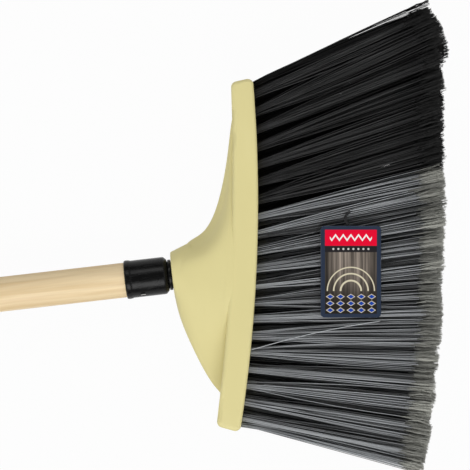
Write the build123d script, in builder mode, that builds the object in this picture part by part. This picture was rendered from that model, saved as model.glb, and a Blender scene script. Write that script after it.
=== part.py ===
from build123d import *

import os
from math import cos, radians, sin, sqrt, tan

# Angled broom: a moulded head with staple-set bristles on a screw-in wooden handle.
# Sizes are in millimetres. X runs along the handle towards the bristles, Z is up from the
# flat face that the head lies on, and the origin is on that face, under the handle's axis.

# Head block
head_length = 242.0
head_thickness = 46.0
head_angle = 8.63
head_offset = 8.0
rim_depth = 17.3
rim_taper = 1.4
face_bow = 7.3
back_bow = 4.8
end_flare = 3.9
corner_radius = 4.0
edge_radius = 3.0

# Hub that carries the handle socket
mouth_setback = 49.6
mouth_wall = 4.8
mouth_round = 2.5
collar_length = 14.6
collar_rise = 5.4
collar_crown = 1.0
collar_round = 1.5
hub_step = 0.4
hub_top_gap = 18.0
hub_bottom_gap = 26.0
hub_cone = 20.0
hub_top_curl = 6.5
hub_bottom_curl = 1.35
hub_lap = 6.0
hub_flat = 8.0
hub_flat_flare = 19.0
hub_flat_curl = 2.6
hub_heights = (0.02, 0.08, 0.2, 0.35, 0.55, 0.75)
# Flank at the rim, from the outline to the flat top: share of the way out, share of the thickness
hub_flank = ((1.0, 0.0), (0.7, 0.2), (0.33, 0.58), (0.0, 0.94))

# Bristle tufts and the wire anchors that hold them
tuft_pitch = 11.6
tuft_drift = 3.0
row_pitch = 8.5
end_margin = 4.8
row_margin = 6.0
hole_diameter = 5.5
hole_depth = 13.0
hole_lead = 4.0
tuft_clearance = 0.05
bristle_length = 131.0
top_growth = 4.5
tip_diameter = 10.0
fan_top = 27.8
fan_bottom = -11.5
fan_bow = 3.6
black_from = 30.0
anchor_width = 2.0
anchor_thickness = 0.4
anchor_clearance = 0.1

# Wooden handle
stick_diameter = 24.0
stick_length = 1200.0
stick_chamfer = 1.0

# Threaded ferrule on the handle's lower end
sleeve_wall = 1.05
sleeve_length = 29.6
sleeve_chamfer = 2.2
sleeve_floor = 3.5
lip_height = 0.3
lip_length = 4.5
stick_fit = 0.05
neck_gap = 3.1
thread_diameter = 21.2
thread_depth = 1.3
thread_pitch = 4.5
thread_crest = 1.4
thread_flank = 0.8
thread_clearance = 0.1
plug_length = 35.0
plug_wall = 2.6
socket_floor_gap = 1.5
ring_width = 2.0
ring_gap = 0.6
ring_clearance = 0.05

# Hang cap on the handle's upper end
cap_wall = 1.2
cap_length = 31.0
cap_floor = 2.2
cap_round = 0.8
loop_length = 35.6
loop_arm = 2.5
loop_tip = 3.2
loop_width = 7.0
loop_corner = 5.0

# Nails through the ferrule and the cap
nail_diameter = 1.6
nail_length = 9.0
nail_head_diameter = 3.4
nail_head_height = 0.7
nail_seat_depth = 0.4
nail_fit = 0.02
ferrule_nail_angle = 58.0
ferrule_nail_inset = 11.5
cap_nail_inset = 14.5
cap_nail_angles = (0.0, -90.0)

# Card tag lying on the bristles, and its string
tag_width = 41.0
tag_length = 62.3
tag_thickness = 0.8
tag_corner = 2.8
tag_turn = -6.57
tag_x = 71.7
tag_y = -11.6
string_diameter = 2.2
string_gap = 0.1
string_reach = 66.0
string_bend = 0.45
string_route = (
    (0.8, 18.5, 0),
    (0.6, 24.5, 0),
    (-0.8, 30.4, 0),
    (-3.9, 34.6, 0),
    (-3.8, 39.8, 0.4),
    (-1.2, 44.0, -1.2),
    (0.6, 45.6, -5.6),
)

# Levels and centres that follow from the sizes above
axis_height = head_thickness / 2
stick_radius = stick_diameter / 2
bore_radius = stick_radius + stick_fit
sleeve_radius = bore_radius + sleeve_wall
cap_radius = bore_radius + cap_wall
crest_radius = thread_diameter / 2
core_radius = crest_radius - thread_depth
socket_radius = crest_radius + thread_clearance
mouth_radius = socket_radius + mouth_wall
hole_radius = hole_diameter / 2
root_radius = hole_radius - tuft_clearance
half_length = head_length / 2

head_plane = Plane.XY.rotated((0, 0, -head_angle))
handle_plane = Plane(origin=(0, 0, axis_height), x_dir=(1, 0, 0), z_dir=(0, -1, 0))
handle_axis = Axis((0, 0, axis_height), (1, 0, 0))

mouth_x = -mouth_setback
sleeve_end = mouth_x - neck_gap
sleeve_start = sleeve_end - sleeve_length
stick_end = sleeve_end - sleeve_floor
stick_start = stick_end - stick_length
plug_end = sleeve_end + plug_length
socket_end = plug_end + socket_floor_gap
mouth_plane = Plane(origin=(mouth_x, 0, axis_height), x_dir=(0, 1, 0), z_dir=(-1, 0, 0))


def arc_drop(bow, distance):
    """Fall of a bowed edge below its crown, at a distance along its chord."""
    radius = (half_length**2 + bow**2) / (2 * bow)
    return radius - sqrt(radius**2 - distance**2)


def fan_angle(distance):
    """Lean of a tuft along the head: an even fan with its middle bowed towards the top."""
    share = distance / half_length
    middle = (fan_top + fan_bottom) / 2
    return middle + share * (fan_top - fan_bottom) / 2 + fan_bow * (1 - share**2)


def tuft_plane(distance, height):
    """Plane on the bristle face, with its normal along the tuft."""
    lean = radians(fan_angle(distance))
    face_x = rim_depth / 2 - arc_drop(face_bow, distance)
    seat = head_plane.from_local_coords(Vector(face_x, head_offset + distance, height))
    direction = head_plane.from_local_coords(Vector(cos(lean), sin(lean), 0))
    return Plane(origin=seat, x_dir=(0, 0, 1), z_dir=direction)


def spread(room, pitch):
    """Evenly pitched places about zero that fit in a length."""
    count = int(round(room / pitch, 6)) + 1
    return [(place - (count - 1) / 2) * pitch for place in range(count)]


def drifted(place):
    """Place of a tuft in its row: the even places drift down the head, most at its middle."""
    return place - tuft_drift * (1 - (place / half_length) ** 2)


def bristle_reach(distance):
    """Length of a tuft's bristles, which grows evenly towards the head's top end."""
    return bristle_length + top_growth * distance / half_length


def hub_section(height):
    """Place, edges, flat top and half thickness of the hub, from 0 at the rim to 1 at the mouth."""
    back_x = -rim_depth / 2 - back_bow / 2
    x = back_x + height * (mouth_x * cos(radians(head_angle)) - back_x)
    axis_y = x * tan(radians(head_angle))
    rise = 1 - height
    top_flare = half_length + head_offset - hub_top_gap - mouth_radius - hub_cone
    top = mouth_radius + hub_cone * rise + top_flare * rise**hub_top_curl
    bottom_flare = half_length - head_offset - hub_bottom_gap - mouth_radius
    bottom = mouth_radius + bottom_flare * (1 - height**hub_bottom_curl)
    thickness = mouth_radius + (axis_height - hub_step - mouth_radius) * rise
    flat = hub_flat + hub_flat_flare * rise**hub_flat_curl
    return x, axis_y, (top, bottom), flat, thickness


def hub_outline(edges, flat, thickness, height):
    """Points round a hub section: flat faces with sloping flanks at the rim, a circle at the mouth."""
    quarters = []
    for edge in edges:
        quarter = []
        for step, (out, up) in enumerate(hub_flank):
            turn = radians(90 * step / len(hub_flank))
            flank = flat + out * (edge - flat)
            y = flank + height * (edge * cos(turn) - flank)
            z = up + height * (sin(turn) - up)
            quarter.append((y, thickness * z))
        quarters.append(quarter)
    top, bottom = quarters
    upper = top + [(0, thickness)] + [(-y, z) for y, z in reversed(bottom)]
    return upper + [(y, -z) for y, z in reversed(upper[1:-1])]


def radial_plane(x, angle, radius):
    """Plane on the handle's surface, with its normal leaning from straight up towards -Y."""
    across = -sin(radians(angle))
    up = cos(radians(angle))
    seat = (x, radius * across, axis_height + radius * up)
    return Plane(origin=seat, x_dir=(1, 0, 0), z_dir=(0, across, up))


row_heights = [axis_height + z for z in spread(head_thickness - 2 * row_margin, row_pitch)]
row_room = head_length - 2 * end_margin
tuft_rows = []
for row, height in enumerate(row_heights):
    room = row_room - tuft_pitch * ((row + 1) % 2)
    tuft_rows.append([(drifted(place), height) for place in spread(room, tuft_pitch)])
all_tufts = [tuft_plane(*tuft) for tufts in tuft_rows for tuft in tufts]

ferrule_nails = [
    radial_plane(sleeve_start + ferrule_nail_inset, angle, sleeve_radius - nail_seat_depth)
    for angle in (ferrule_nail_angle, ferrule_nail_angle + 180)
]
cap_end = stick_start - cap_floor
cap_start = cap_end + cap_length
cap_nails = [
    radial_plane(cap_start - cap_nail_inset, angle, cap_radius - nail_seat_depth)
    for angle in cap_nail_angles
]

os.makedirs("parts", exist_ok=True)

# Collar round the socket mouth: straight sides that widen into the hub, moulded in one with it
with BuildPart() as collar:
    with BuildSketch(mouth_plane):
        Circle(mouth_radius)
    with BuildSketch(mouth_plane.offset(-collar_length)):
        Ellipse(mouth_radius + collar_rise, mouth_radius + collar_crown)
    loft()
    fillet(collar.edges().sort_by(Axis.X)[0], collar_round)

# Head block: a bowed rim strip, a bell-shaped hub, the handle socket and the tuft holes
with BuildPart() as head_block:
    with BuildSketch(head_plane) as rim_outline:
        face_end = rim_depth / 2 - face_bow
        back_end = -rim_depth / 2 - back_bow
        back_half = half_length - end_flare
        with BuildLine():
            face_arc = ThreePointArc(
                (face_end, head_offset - half_length),
                (rim_depth / 2, head_offset),
                (face_end, head_offset + half_length),
            )
            back_arc = ThreePointArc(
                (back_end, head_offset + back_half),
                (-rim_depth / 2 - rim_taper / 2, head_offset),
                (back_end - rim_taper, head_offset - back_half),
            )
            Line(face_arc @ 1, back_arc @ 0)
            Line(back_arc @ 1, face_arc @ 0)
        make_face()
        fillet(rim_outline.vertices(), corner_radius)
    extrude(amount=head_thickness)
    rim_faces = head_block.faces().filter_by(Axis.Z)
    fillet(rim_faces.edges(), edge_radius)

    root_x, root_y, *root_form = hub_section(0)
    root_seat = head_plane.from_local_coords(Vector(root_x + hub_lap, root_y, axis_height))
    hub_normal = head_plane.x_dir * -1
    with BuildSketch(Plane(origin=root_seat, x_dir=head_plane.y_dir, z_dir=hub_normal)):
        with BuildLine():
            Spline(*hub_outline(*root_form, 0), periodic=True)
        make_face()
    for height in hub_heights:
        x, y, *form = hub_section(height)
        seat = head_plane.from_local_coords(Vector(x, y, axis_height))
        with BuildSketch(Plane(origin=seat, x_dir=head_plane.y_dir, z_dir=hub_normal)):
            with BuildLine():
                Spline(*hub_outline(*form, height), periodic=True)
            make_face()
    with BuildSketch(mouth_plane):
        with BuildLine():
            Spline(*hub_outline((mouth_radius, mouth_radius), hub_flat, mouth_radius, 1), periodic=True)
        make_face()
    loft()
    mouth_face = head_block.faces().filter_by(GeomType.PLANE).sort_by(Axis.X)[0]
    fillet(mouth_face.edges(), mouth_round)
    add(collar.part)

    with BuildSketch(mouth_plane):
        Circle(socket_radius)
    extrude(amount=mouth_x - socket_end, mode=Mode.SUBTRACT)
    with Locations(*[plane.offset(-hole_depth) for plane in all_tufts]):
        Cylinder(
            hole_radius,
            hole_depth + hole_lead,
            align=(Align.CENTER, Align.CENTER, Align.MIN),
            mode=Mode.SUBTRACT,
        )
head_block.part.label = "head_block"
export_step(head_block.part, "parts/head_block.step")

# Flat wire anchors on edge at the bottom of the tuft holes
with BuildPart() as tuft_anchors:
    with Locations(*[plane.offset(-hole_depth) for plane in all_tufts]):
        Box(
            hole_diameter - 2 * anchor_clearance,
            anchor_thickness,
            anchor_width,
            align=(Align.CENTER, Align.CENTER, Align.MIN),
        )
tuft_anchors.part.label = "tuft_anchors"
export_step(tuft_anchors.part, "parts/tuft_anchors.step")

# Bristle tufts, row by row from the lying face up, black at the top end and grey below
for row, tufts in enumerate(tuft_rows, start=1):
    colours = {
        "grey": [tuft for tuft in tufts if tuft[0] < black_from],
        "black": [tuft for tuft in tufts if tuft[0] >= black_from],
    }
    for colour, chosen in colours.items():
        with BuildPart() as tuft_row:
            for distance, height in chosen:
                plane = tuft_plane(distance, height)
                with Locations(plane.offset(anchor_width - hole_depth)):
                    Cylinder(
                        root_radius,
                        hole_depth - anchor_width,
                        align=(Align.CENTER, Align.CENTER, Align.MIN),
                    )
                with Locations(plane):
                    Cone(
                        root_radius,
                        tip_diameter / 2,
                        bristle_reach(distance),
                        align=(Align.CENTER, Align.CENTER, Align.MIN),
                    )
        tuft_row.part.label = f"{colour}_tufts_row_{row}"
        export_step(tuft_row.part, f"parts/{colour}_tufts_row_{row}.step")

# Ferrule: a sleeve over the stick, with a hollow threaded plug in front
with BuildPart() as ferrule:
    lip_radius = sleeve_radius + lip_height
    plug_bore = core_radius - plug_wall
    with BuildSketch(handle_plane) as ferrule_profile:
        with BuildLine():
            Polyline(
                (sleeve_start, bore_radius),
                (sleeve_start, lip_radius),
                (sleeve_start + lip_length, lip_radius),
                (sleeve_start + lip_length + lip_height, sleeve_radius),
                (sleeve_end - sleeve_chamfer, sleeve_radius),
                (sleeve_end, sleeve_radius - sleeve_chamfer),
                (sleeve_end, core_radius),
                (plug_end, core_radius),
                (plug_end, 0),
                (plug_end - plug_wall, 0),
                (plug_end - plug_wall, plug_bore),
                (stick_end, plug_bore),
                (stick_end, bore_radius),
                close=True,
            )
        make_face()
        turn_x = plug_end - thread_flank - thread_crest / 2
        while turn_x - thread_flank - thread_crest / 2 > mouth_x:
            with BuildLine():
                Polyline(
                    (turn_x - thread_crest / 2 - thread_flank, core_radius),
                    (turn_x - thread_crest / 2, crest_radius),
                    (turn_x + thread_crest / 2, crest_radius),
                    (turn_x + thread_crest / 2 + thread_flank, core_radius),
                    close=True,
                )
            make_face()
            turn_x -= thread_pitch
    revolve(axis=handle_axis)
    with Locations(*ferrule_nails):
        Hole(nail_diameter / 2 + nail_fit, depth=nail_length)
    with Locations(*ferrule_nails):
        Cylinder(
            nail_head_diameter / 2 + nail_fit,
            nail_seat_depth + nail_head_height,
            align=(Align.CENTER, Align.CENTER, Align.MIN),
            mode=Mode.SUBTRACT,
        )
ferrule.part.label = "ferrule"
export_step(ferrule.part, "parts/ferrule.step")

# Ring of thread that shows between the ferrule and the socket mouth
with BuildPart() as neck_ring:
    ring_start = mouth_x - ring_gap - ring_width
    ring_bore = core_radius + ring_clearance
    with BuildSketch(handle_plane):
        with BuildLine():
            Polyline(
                (ring_start, ring_bore),
                (ring_start, core_radius + thread_depth / 2),
                (ring_start + ring_width / 2, crest_radius),
                (ring_start + ring_width, crest_radius),
                (ring_start + ring_width, ring_bore),
                close=True,
            )
        make_face()
    revolve(axis=handle_axis)
neck_ring.part.label = "neck_ring"
export_step(neck_ring.part, "parts/neck_ring.step")

# Turned wooden stick, with holes for the nails
with BuildPart() as handle_stick:
    with BuildSketch(Plane.YZ.offset(stick_start)):
        with Locations((0, axis_height)):
            Circle(stick_radius)
    extrude(amount=stick_length)
    chamfer(handle_stick.edges().filter_by(GeomType.CIRCLE), stick_chamfer)
    with Locations(*ferrule_nails, *cap_nails):
        Hole(nail_diameter / 2 + nail_fit, depth=nail_length)
handle_stick.part.label = "handle_stick"
export_step(handle_stick.part, "parts/handle_stick.step")

# Hang cap: a cup over the stick's end, with a flat-sided loop
with BuildPart() as hang_cap:
    with BuildSketch(handle_plane):
        with BuildLine():
            Polyline(
                (cap_start, bore_radius),
                (cap_start, cap_radius),
                (cap_end, cap_radius),
                (cap_end, 0),
                (stick_start, 0),
                (stick_start, bore_radius),
                close=True,
            )
        make_face()
    revolve(axis=handle_axis)
    outer_rims = hang_cap.edges().filter_by(GeomType.CIRCLE).group_by(SortBy.RADIUS)[-1]
    fillet(outer_rims, cap_round)
    with BuildSketch(Plane.XY.offset(axis_height - loop_width / 2)) as loop_outline:
        loop_end = cap_end - loop_length
        lap = cap_floor / 2
        with BuildLine():
            top_arm = Line((cap_end + lap, cap_radius), (loop_end + cap_radius, cap_radius))
            round_end = ThreePointArc(
                top_arm @ 1, (loop_end, 0), (loop_end + cap_radius, -cap_radius)
            )
            bottom_arm = Line(round_end @ 1, (cap_end + lap, -cap_radius))
            Line(bottom_arm @ 1, top_arm @ 0)
        make_face()
        inner_radius = cap_radius - loop_arm
        with BuildLine():
            inner_top = Line((cap_end, inner_radius), (loop_end + cap_radius, inner_radius))
            inner_end = ThreePointArc(
                inner_top @ 1, (loop_end + loop_tip, 0), (loop_end + cap_radius, -inner_radius)
            )
            inner_bottom = Line(inner_end @ 1, (cap_end, -inner_radius))
            Line(inner_bottom @ 1, inner_top @ 0)
        make_face(mode=Mode.SUBTRACT)
        inner_corners = loop_outline.vertices().filter_by_position(Axis.X, cap_end, cap_end)
        fillet(inner_corners.filter_by_position(Axis.Y, -inner_radius, inner_radius), loop_corner)
    extrude(amount=loop_width)
    with Locations(*cap_nails):
        Hole(nail_diameter / 2 + nail_fit, depth=nail_length)
    with Locations(*cap_nails):
        Cylinder(
            nail_head_diameter / 2 + nail_fit,
            nail_seat_depth + nail_head_height,
            align=(Align.CENTER, Align.CENTER, Align.MIN),
            mode=Mode.SUBTRACT,
        )
hang_cap.part.label = "hang_cap"
export_step(hang_cap.part, "parts/hang_cap.step")

# Nails: flat heads in shallow seats, shanks through the wall into the wood
for nail_name, nail_planes in (("ferrule_nails", ferrule_nails), ("cap_nails", cap_nails)):
    with BuildPart() as nails:
        with Locations(*nail_planes):
            Cylinder(
                nail_head_diameter / 2,
                nail_head_height,
                align=(Align.CENTER, Align.CENTER, Align.MIN),
            )
            Cylinder(
                nail_diameter / 2,
                nail_length,
                align=(Align.CENTER, Align.CENTER, Align.MAX),
            )
    nails.part.label = nail_name
    export_step(nails.part, f"parts/{nail_name}.step")

# Printed card tag, lying on its string above the bristles
tuft_growth = (tip_diameter / 2 - root_radius) / bristle_length
bristle_top = row_heights[-1] + root_radius + tuft_growth * string_reach
string_level = bristle_top + string_gap + string_diameter / 2
tag_level = string_level + string_diameter / 2 + string_gap
tag_plane = Plane(
    origin=(tag_x, tag_y, string_level),
    x_dir=(cos(radians(tag_turn)), sin(radians(tag_turn)), 0),
    z_dir=(0, 0, 1),
)
with BuildPart() as tag_card:
    with BuildSketch(tag_plane.offset(tag_level - string_level)):
        RectangleRounded(tag_width, tag_length, tag_corner)
    extrude(amount=tag_thickness)
tag_card.part.label = "tag_card"
export_step(tag_card.part, "parts/tag_card.step")

# String glued behind the card, curling up over its top edge and down between two tufts
string_points = [tag_plane.from_local_coords(Vector(*point)) for point in string_route]
string_runs = [after - before for before, after in zip(string_points, string_points[1:])]
string_radii = []
for before, after in zip(string_runs, string_runs[1:]):
    half_turn = radians(before.get_angle(after)) / 2
    string_radii.append(string_bend * min(before.length, after.length) / tan(half_turn))
print("string bend radii", [round(radius, 1) for radius in string_radii])
with BuildPart() as tag_string:
    with BuildLine() as string_path:
        FilletPolyline(*string_points, radius=string_radii)
    with BuildSketch(Plane(origin=string_path.line @ 0, z_dir=string_path.line % 0)):
        Circle(string_diameter / 2)
    sweep()
tag_string.part.label = "tag_string"
export_step(tag_string.part, "parts/tag_string.step")
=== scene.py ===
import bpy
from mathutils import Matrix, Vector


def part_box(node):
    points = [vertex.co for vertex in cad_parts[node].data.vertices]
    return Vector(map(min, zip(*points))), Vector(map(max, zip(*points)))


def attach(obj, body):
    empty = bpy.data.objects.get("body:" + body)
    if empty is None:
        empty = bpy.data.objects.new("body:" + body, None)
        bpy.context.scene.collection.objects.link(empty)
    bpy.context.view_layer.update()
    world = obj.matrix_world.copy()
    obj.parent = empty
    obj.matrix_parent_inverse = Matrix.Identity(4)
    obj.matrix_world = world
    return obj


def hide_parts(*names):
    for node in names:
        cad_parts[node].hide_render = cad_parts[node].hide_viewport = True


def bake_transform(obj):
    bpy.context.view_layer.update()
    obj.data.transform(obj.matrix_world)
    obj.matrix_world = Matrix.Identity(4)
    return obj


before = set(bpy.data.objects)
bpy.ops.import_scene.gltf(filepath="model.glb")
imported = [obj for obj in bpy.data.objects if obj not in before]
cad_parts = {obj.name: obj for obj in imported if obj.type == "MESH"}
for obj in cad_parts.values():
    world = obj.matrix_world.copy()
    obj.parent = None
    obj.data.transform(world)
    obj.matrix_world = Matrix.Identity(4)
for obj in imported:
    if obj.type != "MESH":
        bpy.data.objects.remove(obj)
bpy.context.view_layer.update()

from math import cos, pi, radians, sin
from types import SimpleNamespace

import bpy
import numpy as np
from bpy.props import FloatProperty, FloatVectorProperty, IntProperty, PointerProperty
from bpy.types import Operator, Panel, PropertyGroup

bl_info = {
    "name": "Angled Broom",
    "version": (1, 0, 0),
    "blender": (4, 5, 0),
    "location": "View3D > Sidebar > Broom",
    "description": "Bristles, fittings, finishes and stage for an angled broom on its CAD frame",
    "category": "Object",
}

MM = 0.001

# Places that the CAD nodes give
STICK_LOW, STICK_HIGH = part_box("handle_stick")
FERRULE_LOW, FERRULE_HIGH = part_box("ferrule")
CAP_LOW, CAP_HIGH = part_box("hang_cap")
RING_LOW, RING_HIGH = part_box("neck_ring")
TAG_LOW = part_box("tag_card")[0]
AXIS_Z = (STICK_LOW.z + STICK_HIGH.z) / 2

# String route near the CAD tube's, in the tag's own plane, in millimetres
TAG_CENTRE = (71.7, -11.6)
TAG_TURN = radians(-6.57)
STRING_ROUTE = (
    (0.9, 16.8, 0),
    (0.6, 24.5, 0),
    (-0.8, 30.4, 0),
    (-3.9, 34.6, 0),
    (-3.2, 39.2, -0.2),
    (0.2, 41.4, -2.4),
    (2.4, 42.0, -7.0),
)

# String: gap under the card in metres, side direction, rings and sides, and a strand's offset in diameters
STRING_GAP = 0.0001
STRING_UP = (0.35, -0.45, 0.82)
STRING_RINGS, STRING_SIDES = 90, 10
STRAND_OFFSET = 0.235

# Loose bristle from its root to its tip, in millimetres, and its size and light against the others
STRAY_ROOT = (-4.0, -57.2, 42.0)
STRAY_TIP = (87.6, -47.2, 45.6)
STRAY_BOW = 1.8
STRAY_SIZE, STRAY_SHADE = 0.75, 1.2
STRAY_RINGS, STRAY_SIDES = 24, 6

# Rows of tufts, width of the middle row's, and in metres the roots' depth and least height
ROWS, FULL_ROW = 5, 21
MIDDLE_WIDTH = 1.5
ROOT_DEPTH = 0.006
FLOOR_GAP = 0.0004

# One bristle: turn to the next sunflower place, sides, and shares and sizes along its shaft and hairs
GOLDEN_TURN = pi * (3 - 5**0.5)
SIDES = 3
SHAFT_SHARES = np.array([0.0, 0.1, 0.2, 0.32, 0.58, 0.82, 1.0])
HAIR_SHARES = np.array([0.0, 0.5, 1.0])
HAIR_RADII = np.array([0.58, 0.46, 0.3])
HAIR_WANDER = np.array([0.1, 0.8, 0.65])

# Shares of the head's half length at which the bristles change towards its ends
CREST_SPAN = (0.68, 0.8)
CORNER_SPAN = (0.805, 0.93)
TAIL_SPAN = (0.6, 0.9)
END_FROM, LAST_FROM = 0.88, 0.93

# Random differences of tufts and bristles: lean in radians, places in half widths, the rest in metres
TUFT_LEAN, TUFT_BOW, TUFT_REACH, TUFT_CUT = 0.012, 0.001, 0.0007, 0.0014
BRISTLE_BOW, BRISTLE_REACH, BRISTLE_CUT = 0.0009, 0.0004, 0.0018
SIDE_PLACE, LIFT_PLACE = 0.27, 0.04
STEM_WANDER, HAIR_STRAY = 0.0007, 0.0006

# Factors on the widths of tufts and bristles, and on the wander of hairs along the handle's line
TUFT_WIDTHS, BRISTLE_WIDTHS = (0.76, 1.2), (0.85, 1.15)
WANDER_ALONG = 0.4

# Root place kept at the tip, widest place, shorter sides of a tuft, and the splay's start
ROOT_SHOWS, SIDE_LIMIT = 0.85, 1.3
TUFT_ROUND = 0.0014
SPLAY_SPAN = (-0.02, 0.06)

# End tufts: outward width and bow at the top and the bottom, and the bristles that stand off at the top
END_WIDTHS = (0.4, 0.5)
TOP_BOW, BOTTOM_BOW = 0.0065, 0.0022
LOOSE_SHARE, LOOSE_PLACE, LOOSE_REACH = 0.1, 0.4, 0.0025
LOOSE_BOWS = (-0.0052, -0.0023)

# Light and shade painted into the bristles' colour: even steps, strips across a tuft, painted light by depth,
# and levels as a start and a gain
SHADES, CLUMPS, LOCKS = 24, 7, 17
STRIP_REACH = 1.4
DEEP_LIGHT, NEXT_ROW_LIGHT = 0.15, 0.42
FACING_SPAN = (-0.4, 0.5)
LOCKED_SHARE, DARK_BELOW = 0.7, 0.26
DARK_LEVEL, PALE_LEVEL = (0.02, 0.4), (0.45, 0.55)
CLUMP_WEIGHT, SHADE_WEIGHT, CHANCE_WEIGHT = 0.5, 0.2, 0.3

# Bristle finishes as colour, shine and lift, the lift being painted light along the bristle and the inner
# rows' shaded copies painting shade with less shine, and their bake map: corners in a column, starts and
# gains
BRISTLE_FINISHES = {
    "grey_bristle": ("grey", 0.5, 0.0),
    "black_bristle": ("black", 0.5, 0.0),
    "grey_bristle_inner": ("grey", 0.12, 0.05),
    "black_bristle_inner": ("black", 0.2, 0.05),
}
BAKE_CORNERS = (0.15, 0.5, 0.85)
BAKE_SHAFT, BAKE_HAIR = (0.01, 0.72), (0.76, 0.23)

# Colours of wear and of plain print, and the shine of black plastic and card
WORN_PLASTIC = (0.80, 0.75, 0.42)
TARNISH = (0.26, 0.22, 0.19)
BLUSH = (0.74, 0.5, 0.33)
KNOT_BROWN = (0.42, 0.2, 0.09)
STRIP_BLACK = (0.017, 0.015, 0.017)
DOT_WHITE = (0.8, 0.78, 0.74)
ZIGZAG_WHITE = (0.86, 0.85, 0.84)
RUBBED_GREY = (0.3, 0.3, 0.32)
BLACK_SHINE, CARD_SHINE = 0.16, 0.1

# Wood in metres: pith beside the stick, ring step, knot depth, and knots as x, y, half length and half width
PITH = (0.021, 0.036)
RING_STEP = 0.0052
KNOT_DEPTH = 0.004
KNOTS = (
    (-1.1725, 0.0015, 0.0045, 0.0022),
    (-1.1555, 0.0012, 0.0038, 0.0020),
    (-0.742, -0.004, 0.004, 0.0025),
)

# Card print from the card's middle, in millimetres; a pair of numbers is a soft edge or a span
FADE_HEIGHTS, FADE_SIDES = (-24.0, 6.0), (7.0, 18.0)
PRINT_EDGE, PRINT_SOFT = 0.2, 0.14
ARC_LEVEL = -13.0
ARCS = ((6.4, 7.6), (11.2, 12.2), (15.6, 16.4))
LOZENGE_TOP, LOZENGE_WIDTH, LOZENGE_HEIGHT = -14.6, 7.04, 4.6
LOZENGE_RIM, LOZENGE_INSIDE = (0.78, 0.86), (0.6, 0.68)
STRIP_SPAN, BAND_EDGE = (13.3, 17.6), (17.5, 17.7)
DOT_STEP, DOT_LEVEL = 3.4, 15.45
DOT_EDGE, DOT_SIDES = (0.55, 0.85), (13.4, 13.6)
ZIGZAG_STEP, ZIGZAG_RISE, ZIGZAG_LEVEL = 5.2, 3.6, 23.2
ZIGZAG_EDGE, ZIGZAG_SIDES = (0.7, 0.95), (14.1, 14.4)
CARD_INSIDE, CARD_RUBBED = (17.6, 28.5), (20.1, 30.7)
BORDER_EDGE, RUB_EDGE = (-0.15, 0.15), (0.0, 0.4)

# Lean of the ferrule's nails from straight up, and the length and edge of their bare lines
NAIL_ANGLE = radians(58.0)
NAIL_LINES = {"ferrule_nails": 2.2 * MM, "cap_nails": 0.6 * MM}
NAIL_EDGE = (0.2 * MM, 0.6 * MM)

# Turned pieces and loop: points, corner rounds in millimetres, longest runs, and the ridge over one pitch
TURNED_SIDES, OVAL_POINTS, ARM_POINTS, TURN_POINTS = 72, 20, 26, 41
FERRULE_ROUNDS = (0.2, 0.3, 1.3, 1.2, 0.5, 0.9, 0.6, 0.5, 0.8)
CAP_ROUNDS = (1.1, 0.7, 0.3, 0.3)
FERRULE_STEP, CAP_STEP = 0.4 * MM, 1.5 * MM
RIDGE_UP, RIDGE_DOWN = (0.05, 0.3), (0.6, 0.85)

# Thread's fade before its end and slack in finding its core, in metres, and powers of the squared ovals
THREAD_ENDS = (0.002, 0.0004)
CORE_SLACK = 1e-6
RING_POWER, LOOP_POWER = 0.5, 0.6

# Stage: where the sky's ends begin, and the floor's half size, level and colour for the light it throws back
SKY_ENDS = (0.3, 0.8)
SEEN_RAYS = ("Camera", "Glossy", "Transmission")
FLOOR_HALF, FLOOR_LEVEL = 40.0, -0.0005
FLOOR_COLOUR = (0.4, 0.4, 0.4)


def property_maker(kind, **fixed):
    """Function that makes a property of one kind from its name, description and default."""

    def make(name, description, default, **limits):
        return kind(name=name, description=description, default=default, **fixed, **limits)

    return make


number = property_maker(FloatProperty)
whole = property_maker(IntProperty)
metres = property_maker(FloatProperty, unit="LENGTH", precision=5)
rotation = property_maker(FloatProperty, unit="ROTATION")
swatch = property_maker(FloatVectorProperty, subtype="COLOR", size=3, min=0, max=1)


class BroomStageSettings(PropertyGroup):
    distance: metres("Camera distance", "From the camera down to the level that sets the scale", 1.5)
    level: metres("Scale level", "Height above the floor where the view has its width", 0.036)
    width: metres("View width", "Width of the picture at that level", 0.3216)
    centre_x: metres("View centre X", "Point under the middle of the picture", -0.00365)
    centre_y: metres("View centre Y", "Point under the middle of the picture", 0.02219)
    roll: rotation("Camera roll", "Turn of the picture about the view line", radians(-6.57))
    sky: number("Sky light", "Even light from all round", 0.12)
    ends: number("End light", "More light from the sky at both ends of the handle", 1.0)
    key: number("Key lamp", "Soft lamp on the grey side, in watts", 37.0)
    key_width: metres("Key width", "Width of the key lamp across the handle", 1.4)
    fill: number("Fill lamp", "Soft lamp on the black side, in watts", 13.5)
    fill_width: metres("Fill width", "Width of the fill lamp across the handle", 0.85)
    lamp_length: metres("Lamp length", "Length of both lamps along the handle", 1.6)
    lamp_angle: rotation("Lamp lean", "Lean of both lamps from straight above", radians(43.0))
    lamp_distance: metres("Lamp distance", "From the head to each lamp", 2.5)
    white: number("Floor white", "Share of the floor that shows as plain white", 0.97)


class BroomHeadSettings(PropertyGroup):
    length: metres("Head length", "Length of the bristle face", 0.242)
    angle: rotation("Head angle", "Turn of the head against the handle", radians(8.63))
    offset: metres("Head offset", "From the handle's line to the head's middle", 0.008)
    rim_depth: metres("Rim depth", "Depth of the rim strip at its middle", 0.0173)
    face_bow: metres("Face bow", "Bow of the bristle face over its length", 0.0073)
    colour: swatch("Plastic", "Pale moulded plastic", (0.71, 0.635, 0.296))


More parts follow.
